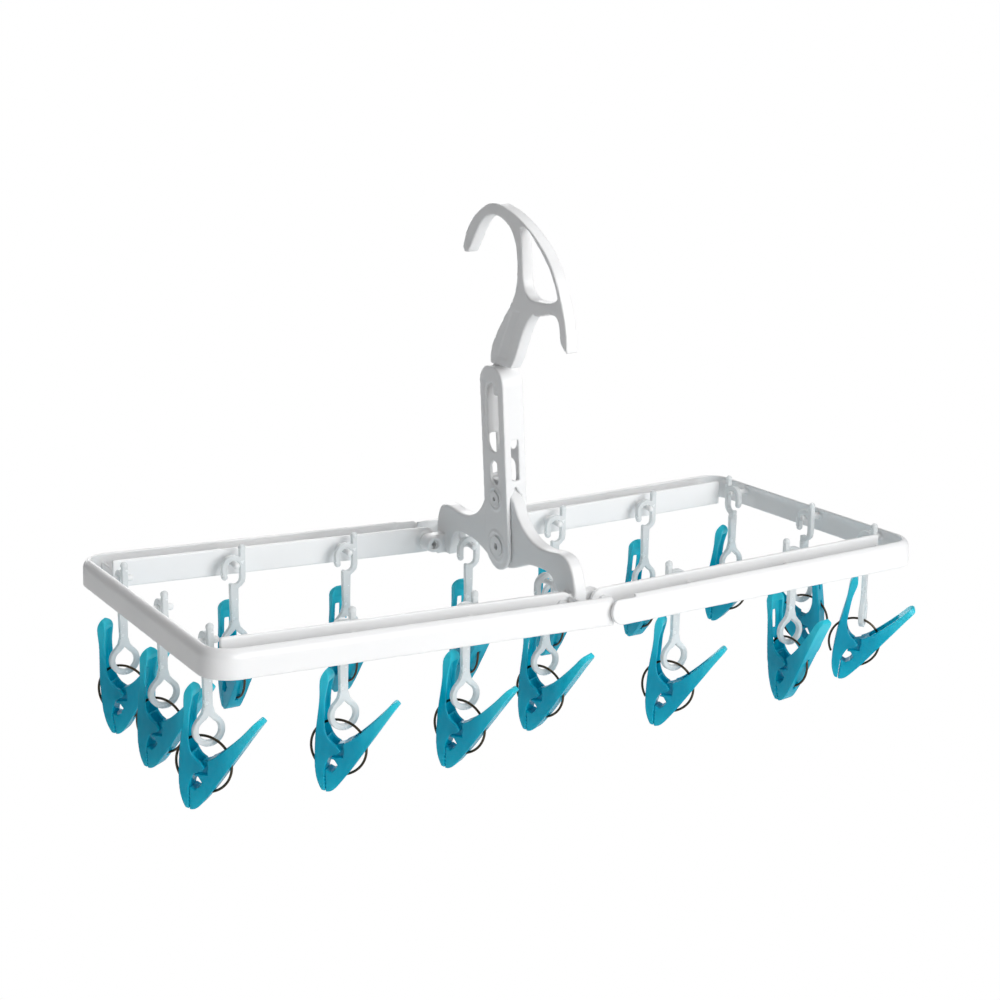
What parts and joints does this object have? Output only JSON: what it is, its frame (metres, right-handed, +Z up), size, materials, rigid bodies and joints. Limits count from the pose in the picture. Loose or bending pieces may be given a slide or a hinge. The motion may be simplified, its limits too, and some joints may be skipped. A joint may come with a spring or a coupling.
{
  "type": "clip drying hanger",
  "caption": "Folding laundry hanger: a white U-rail frame on each side of an arched yoke, a post with a swivel hook, and teal ring-spring clips hung on plastic links.",
  "frame": {"origin": "highest point of the hook's inside, in the middle of its width, where it rests on a rail", "axes": "+Z up as it hangs, +X along the hanger's length, +Y across it towards the rear arms; the hook's plane is YZ"},
  "size_m": [0.5028, 0.2228, 0.3249],
  "materials": {
    "white_plastic": "glossy, very slightly translucent white polypropylene",
    "milky_plastic": "milky translucent unpigmented polypropylene",
    "teal_plastic": "glossy translucent teal polypropylene"
  },
  "bodies": {
    "hook": {"swivel_hook": "white_plastic"},
    "yoke": {"yoke": "white_plastic", "post": "white_plastic", "post_rivets": "white_plastic"},
    "left_frame": {"left_rail_frame": "white_plastic", "left_hinge_pins": "white_plastic"},
    "right_frame": {"right_rail_frame": "white_plastic", "right_hinge_pins": "white_plastic"},
    "left_side_1_link": {"left_side_1_link": "milky_plastic"},
    "left_side_1_jaw": {"left_side_1_jaw": "teal_plastic"},
    "left_side_1_lever": {"left_side_1_lever": "teal_plastic"},
    "left_side_2_link": {"left_side_2_link": "milky_plastic"},
    "left_side_2_jaw": {"left_side_2_jaw": "teal_plastic"},
    "left_side_2_lever": {"left_side_2_lever": "teal_plastic"},
    "left_side_3_link": {"left_side_3_link": "milky_plastic"},
    "left_side_3_jaw": {"left_side_3_jaw": "teal_plastic"},
    "left_side_3_lever": {"left_side_3_lever": "teal_plastic"},
    "left_front_1_link": {"left_front_1_link": "milky_plastic"},
    "left_front_1_jaw": {"left_front_1_jaw": "teal_plastic"},
    "left_front_1_lever": {"left_front_1_lever": "teal_plastic"},
    "left_front_2_link": {"left_front_2_link": "milky_plastic"},
    "left_front_2_jaw": {"left_front_2_jaw": "teal_plastic"},
    "left_front_2_lever": {"left_front_2_lever": "teal_plastic"},
    "left_rear_1_link": {"left_rear_1_link": "milky_plastic"},
    "left_rear_1_jaw": {"left_rear_1_jaw": "teal_plastic"},
    "left_rear_1_lever": {"left_rear_1_lever": "teal_plastic"},
    "left_rear_2_link": {"left_rear_2_link": "milky_plastic"},
    "left_rear_2_jaw": {"left_rear_2_jaw": "teal_plastic"},
    "left_rear_2_lever": {"left_rear_2_lever": "teal_plastic"},
    "yoke_front_link": {"yoke_front_link": "milky_plastic"},
    "yoke_front_jaw": {"yoke_front_jaw": "teal_plastic"},
    "yoke_front_lever": {"yoke_front_lever": "teal_plastic"},
    "yoke_rear_link": {"yoke_rear_link": "milky_plastic"},
    "yoke_rear_jaw": {"yoke_rear_jaw": "teal_plastic"},
    "yoke_rear_lever": {"yoke_rear_lever": "teal_plastic"},
    "right_rear_1_link": {"right_rear_1_link": "milky_plastic"},
    "right_rear_1_jaw": {"right_rear_1_jaw": "teal_plastic"},
    "right_rear_1_lever": {"right_rear_1_lever": "teal_plastic"},
    "right_rear_2_link": {"right_rear_2_link": "milky_plastic"},
    "right_rear_2_jaw": {"right_rear_2_jaw": "teal_plastic"},
    "right_rear_2_lever": {"right_rear_2_lever": "teal_plastic"},
    "right_front_1_link": {"right_front_1_link": "milky_plastic"},
    "right_front_1_jaw": {"right_front_1_jaw": "teal_plastic"},
    "right_front_1_lever": {"right_front_1_lever": "teal_plastic"},
    "right_front_2_link": {"right_front_2_link": "milky_plastic"},
    "right_front_2_jaw": {"right_front_2_jaw": "teal_plastic"},
    "right_front_2_lever": {"right_front_2_lever": "teal_plastic"},
    "right_side_1_link": {"right_side_1_link": "milky_plastic"},
    "right_side_1_jaw": {"right_side_1_jaw": "teal_plastic"},
    "right_side_1_lever": {"right_side_1_lever": "teal_plastic"},
    "right_side_2_link": {"right_side_2_link": "milky_plastic"},
    "right_side_2_jaw": {"right_side_2_jaw": "teal_plastic"},
    "right_side_2_lever": {"right_side_2_lever": "teal_plastic"},
    "right_side_3_link": {"right_side_3_link": "milky_plastic"},
    "right_side_3_jaw": {"right_side_3_jaw": "teal_plastic"},
    "right_side_3_lever": {"right_side_3_lever": "teal_plastic"}
  },
  "joints": [
    {"name": "hook_swivel", "type": "hinge", "parent": "hook", "child": "yoke", "pos_m": [0.00486, 0.0044, -0.09277], "axis": [-0.0523, 0, 0.9986], "continuous": true},
    {"name": "left_fold", "type": "hinge", "parent": "yoke", "child": "left_frame", "pos_m": [-0.00183, 0.0044, -0.22259], "axis": [0, 1, 0], "range_deg": [0, 80]},
    {"name": "right_fold", "type": "hinge", "parent": "yoke", "child": "right_frame", "pos_m": [0.02517, 0.0044, -0.22259], "axis": [0, -1, 0], "range_deg": [0, 80]},
    {"name": "left_side_1_swing", "type": "hinge", "parent": "left_frame", "child": "left_side_1_link", "pos_m": [-0.2182, 0.0714, -0.21444], "axis": [0.9997, 0, -0.0257], "range_deg": [-20, 20]},
    {"name": "left_side_1_rock", "type": "hinge", "parent": "left_side_1_link", "child": "left_side_1_jaw", "pos_m": [-0.2182, 0.0714, -0.27299], "axis": [1, 0, 0], "range_deg": [-6, 6]},
    {"name": "left_side_1_squeeze", "type": "hinge", "parent": "left_side_1_jaw", "child": "left_side_1_lever", "pos_m": [-0.21911, 0.07231, -0.28594], "axis": [-0.7071, -0.7071, 0], "range_deg": [0, 15], "stiffness_Nm_per_rad": 0.12, "springref_deg": -20.05},
    {"name": "left_side_2_swing", "type": "hinge", "parent": "left_frame", "child": "left_side_2_link", "pos_m": [-0.2182, 0.0044, -0.21444], "axis": [0.9997, 0, -0.0257], "range_deg": [-20, 20]},
    {"name": "left_side_2_rock", "type": "hinge", "parent": "left_side_2_link", "child": "left_side_2_jaw", "pos_m": [-0.2182, 0.0044, -0.27299], "axis": [1, 0, 0], "range_deg": [-6, 6]},
    {"name": "left_side_2_squeeze", "type": "hinge", "parent": "left_side_2_jaw", "child": "left_side_2_lever", "pos_m": [-0.21992, 0.00686, -0.28594], "axis": [-0.8192, -0.5736, 0], "range_deg": [0, 15], "stiffness_Nm_per_rad": 0.12, "springref_deg": -20.05},
    {"name": "left_side_3_swing", "type": "hinge", "parent": "left_frame", "child": "left_side_3_link", "pos_m": [-0.2182, -0.0636, -0.21444], "axis": [0.9997, 0, -0.0257], "range_deg": [-20, 20]},
    {"name": "left_side_3_rock", "type": "hinge", "parent": "left_side_3_link", "child": "left_side_3_jaw", "pos_m": [-0.2182, -0.0636, -0.27299], "axis": [1, 0, 0], "range_deg": [-6, 6]},
    {"name": "left_side_3_squeeze", "type": "hinge", "parent": "left_side_3_jaw", "child": "left_side_3_lever", "pos_m": [-0.22048, -0.06124, -0.28568], "axis": [-0.7193, -0.6947, 0], "range_deg": [0, 15], "stiffness_Nm_per_rad": 0.12, "springref_deg": -20.05},
    {"name": "left_front_1_swing", "type": "hinge", "parent": "left_frame", "child": "left_front_1_link", "pos_m": [-0.13926, -0.0689, -0.21787], "axis": [0, 1, 0], "range_deg": [-20, 20]},
    {"name": "left_front_1_rock", "type": "hinge", "parent": "left_front_1_link", "child": "left_front_1_jaw", "pos_m": [-0.13926, -0.0689, -0.27642], "axis": [1, 0, 0], "range_deg": [-6, 6]},
    {"name": "left_front_1_squeeze", "type": "hinge", "parent": "left_front_1_jaw", "child": "left_front_1_lever", "pos_m": [-0.14142, -0.06682, -0.28912], "axis": [-0.6947, -0.7193, 0], "range_deg": [0, 15], "stiffness_Nm_per_rad": 0.12, "springref_deg": -20.05},
    {"name": "left_front_2_swing", "type": "hinge", "parent": "left_frame", "child": "left_front_2_link", "pos_m": [-0.06058, -0.0689, -0.21989], "axis": [0, 1, 0], "range_deg": [-20, 20]},
    {"name": "left_front_2_rock", "type": "hinge", "parent": "left_front_2_link", "child": "left_front_2_jaw", "pos_m": [-0.06058, -0.0689, -0.27844], "axis": [1, 0, 0], "range_deg": [-6, 6]},
    {"name": "left_front_2_squeeze", "type": "hinge", "parent": "left_front_2_jaw", "child": "left_front_2_lever", "pos_m": [-0.06242, -0.06618, -0.29135], "axis": [-0.829, -0.5592, 0], "range_deg": [0, 15], "stiffness_Nm_per_rad": 0.12, "springref_deg": -20.05},
    {"name": "left_rear_1_swing", "type": "hinge", "parent": "left_frame", "child": "left_rear_1_link", "pos_m": [-0.14256, 0.0808, -0.21778], "axis": [0, 1, 0], "range_deg": [-20, 20]},
    {"name": "left_rear_1_rock", "type": "hinge", "parent": "left_rear_1_link", "child": "left_rear_1_jaw", "pos_m": [-0.14256, 0.0808, -0.27633], "axis": [1, 0, 0], "range_deg": [-6, 6]},
    {"name": "left_rear_1_squeeze", "type": "hinge", "parent": "left_rear_1_jaw", "child": "left_rear_1_lever", "pos_m": [-0.14266, 0.0838, -0.28971], "axis": [-0.9994, -0.0349, 0], "range_deg": [0, 15], "stiffness_Nm_per_rad": 0.12, "springref_deg": -20.05},
    {"name": "left_rear_2_swing", "type": "hinge", "parent": "left_frame", "child": "left_rear_2_link", "pos_m": [-0.06468, 0.0808, -0.21978], "axis": [0, 1, 0], "range_deg": [-20, 20]},
    {"name": "left_rear_2_rock", "type": "hinge", "parent": "left_rear_2_link", "child": "left_rear_2_jaw", "pos_m": [-0.06468, 0.0808, -0.27833], "axis": [1, 0, 0], "range_deg": [-6, 6]},
    {"name": "left_rear_2_squeeze", "type": "hinge", "parent": "left_rear_2_jaw", "child": "left_rear_2_lever", "pos_m": [-0.06489, 0.08379, -0.2917], "axis": [-0.9976, -0.0698, 0], "range_deg": [0, 15], "stiffness_Nm_per_rad": 0.12, "springref_deg": -20.05},
    {"name": "yoke_front_swing", "type": "hinge", "parent": "yoke", "child": "yoke_front_link", "pos_m": [0.01148, -0.0416, -0.219], "axis": [0, 1, 0], "range_deg": [0, 20]},
    {"name": "yoke_front_rock", "type": "hinge", "parent": "yoke_front_link", "child": "yoke_front_jaw", "pos_m": [0.01148, -0.0416, -0.27755], "axis": [1, 0, 0], "range_deg": [-6, 6]},
    {"name": "yoke_front_squeeze", "type": "hinge", "parent": "yoke_front_jaw", "child": "yoke_front_lever", "pos_m": [0.01007, -0.03895, -0.29064], "axis": [-0.8829, -0.4695, 0], "range_deg": [0, 15], "stiffness_Nm_per_rad": 0.12, "springref_deg": -20.05},
    {"name": "yoke_rear_swing", "type": "hinge", "parent": "yoke", "child": "yoke_rear_link", "pos_m": [0.01148, 0.0544, -0.219], "axis": [0, 1, 0], "range_deg": [0, 20]},
    {"name": "yoke_rear_rock", "type": "hinge", "parent": "yoke_rear_link", "child": "yoke_rear_jaw", "pos_m": [0.01148, 0.0544, -0.27755], "axis": [1, 0, 0], "range_deg": [-6, 6]},
    {"name": "yoke_rear_squeeze", "type": "hinge", "parent": "yoke_rear_jaw", "child": "yoke_rear_lever", "pos_m": [0.01148, 0.0574, -0.29092], "axis": [-1, 0, 0], "range_deg": [0, 15], "stiffness_Nm_per_rad": 0.12, "springref_deg": -20.05},
    {"name": "right_rear_1_swing", "type": "hinge", "parent": "right_frame", "child": "right_rear_1_link", "pos_m": [0.09311, 0.0777, -0.21965], "axis": [0, 1, 0], "range_deg": [-20, 20]},
    {"name": "right_rear_1_rock", "type": "hinge", "parent": "right_rear_1_link", "child": "right_rear_1_jaw", "pos_m": [0.09311, 0.0777, -0.2782], "axis": [1, 0, 0], "range_deg": [-6, 6]},
    {"name": "right_rear_1_squeeze", "type": "hinge", "parent": "right_rear_1_jaw", "child": "right_rear_1_lever", "pos_m": [0.09322, 0.0807, -0.29157], "axis": [-0.9994, 0.0349, 0], "range_deg": [0, 15], "stiffness_Nm_per_rad": 0.12, "springref_deg": -20.05},
    {"name": "right_rear_2_swing", "type": "hinge", "parent": "right_frame", "child": "right_rear_2_link", "pos_m": [0.16859, 0.0777, -0.21771], "axis": [0, 1, 0], "range_deg": [-20, 20]},
    {"name": "right_rear_2_rock", "type": "hinge", "parent": "right_rear_2_link", "child": "right_rear_2_jaw", "pos_m": [0.16859, 0.0777, -0.27626], "axis": [1, 0, 0], "range_deg": [-6, 6]},
    {"name": "right_rear_2_squeeze", "type": "hinge", "parent": "right_rear_2_jaw", "child": "right_rear_2_lever", "pos_m": [0.16846, 0.08126, -0.28952], "axis": [-0.9994, -0.0349, 0], "range_deg": [0, 15], "stiffness_Nm_per_rad": 0.12, "springref_deg": -20.05},
    {"name": "right_front_1_swing", "type": "hinge", "parent": "right_frame", "child": "right_front_1_link", "pos_m": [0.08811, -0.071, -0.21978], "axis": [0, 1, 0], "range_deg": [-20, 20]},
    {"name": "right_front_1_rock", "type": "hinge", "parent": "right_front_1_link", "child": "right_front_1_jaw", "pos_m": [0.08811, -0.071, -0.27833], "axis": [1, 0, 0], "range_deg": [-6, 6]},
    {"name": "right_front_1_squeeze", "type": "hinge", "parent": "right_front_1_jaw", "child": "right_front_1_lever", "pos_m": [0.086, -0.06849, -0.29111], "axis": [-0.766, -0.6428, 0], "range_deg": [0, 15], "stiffness_Nm_per_rad": 0.12, "springref_deg": -20.05},
    {"name": "right_front_2_swing", "type": "hinge", "parent": "right_frame", "child": "right_front_2_link", "pos_m": [0.18008, -0.071, -0.21742], "axis": [0, 1, 0], "range_deg": [-20, 20]},
    {"name": "right_front_2_rock", "type": "hinge", "parent": "right_front_2_link", "child": "right_front_2_jaw", "pos_m": [0.18008, -0.071, -0.27597], "axis": [1, 0, 0], "range_deg": [-6, 6]},
    {"name": "right_front_2_squeeze", "type": "hinge", "parent": "right_front_2_jaw", "child": "right_front_2_lever", "pos_m": [0.18001, -0.07058, -0.28957], "axis": [-0.9848, -0.1736, 0], "range_deg": [0, 15], "stiffness_Nm_per_rad": 0.12, "springref_deg": -20.05},
    {"name": "right_side_1_swing", "type": "hinge", "parent": "right_frame", "child": "right_side_1_link", "pos_m": [0.24153, 0.0719, -0.21444], "axis": [0.9997, 0, 0.0257], "range_deg": [-20, 20]},
    {"name": "right_side_1_rock", "type": "hinge", "parent": "right_side_1_link", "child": "right_side_1_jaw", "pos_m": [0.24153, 0.0719, -0.27299], "axis": [1, 0, 0], "range_deg": [-6, 6]},
    {"name": "right_side_1_squeeze", "type": "hinge", "parent": "right_side_1_jaw", "child": "right_side_1_lever", "pos_m": [0.23961, 0.07523, -0.28586], "axis": [-0.866, -0.5, 0], "range_deg": [0, 15], "stiffness_Nm_per_rad": 0.12, "springref_deg": -20.05},
    {"name": "right_side_2_swing", "type": "hinge", "parent": "right_frame", "child": "right_side_2_link", "pos_m": [0.24153, -0.0086, -0.21444], "axis": [0.9997, 0, 0.0257], "range_deg": [-20, 20]},
    {"name": "right_side_2_rock", "type": "hinge", "parent": "right_side_2_link", "child": "right_side_2_jaw", "pos_m": [0.24153, -0.0086, -0.27299], "axis": [1, 0, 0], "range_deg": [-6, 6]},
    {"name": "right_side_2_squeeze", "type": "hinge", "parent": "right_side_2_jaw", "child": "right_side_2_lever", "pos_m": [0.24303, -0.0112, -0.28604], "axis": [0.866, 0.5, 0], "range_deg": [0, 15], "stiffness_Nm_per_rad": 0.12, "springref_deg": -20.05},
    {"name": "right_side_3_swing", "type": "hinge", "parent": "right_frame", "child": "right_side_3_link", "pos_m": [0.24153, -0.0716, -0.21444], "axis": [0.9997, 0, 0.0257], "range_deg": [-12, 12]},
    {"name": "right_side_3_rock", "type": "hinge", "parent": "right_side_3_link", "child": "right_side_3_jaw", "pos_m": [0.24153, -0.0716, -0.27299], "axis": [0.766, 0.6428, 0], "range_deg": [-6, 4]},
    {"name": "right_side_3_squeeze", "type": "hinge", "parent": "right_side_3_jaw", "child": "right_side_3_lever", "pos_m": [0.23805, -0.06847, -0.28594], "axis": [-0.6691, -0.7431, 0], "range_deg": [0, 15], "stiffness_Nm_per_rad": 0.12, "springref_deg": -20.05}
  ]
}
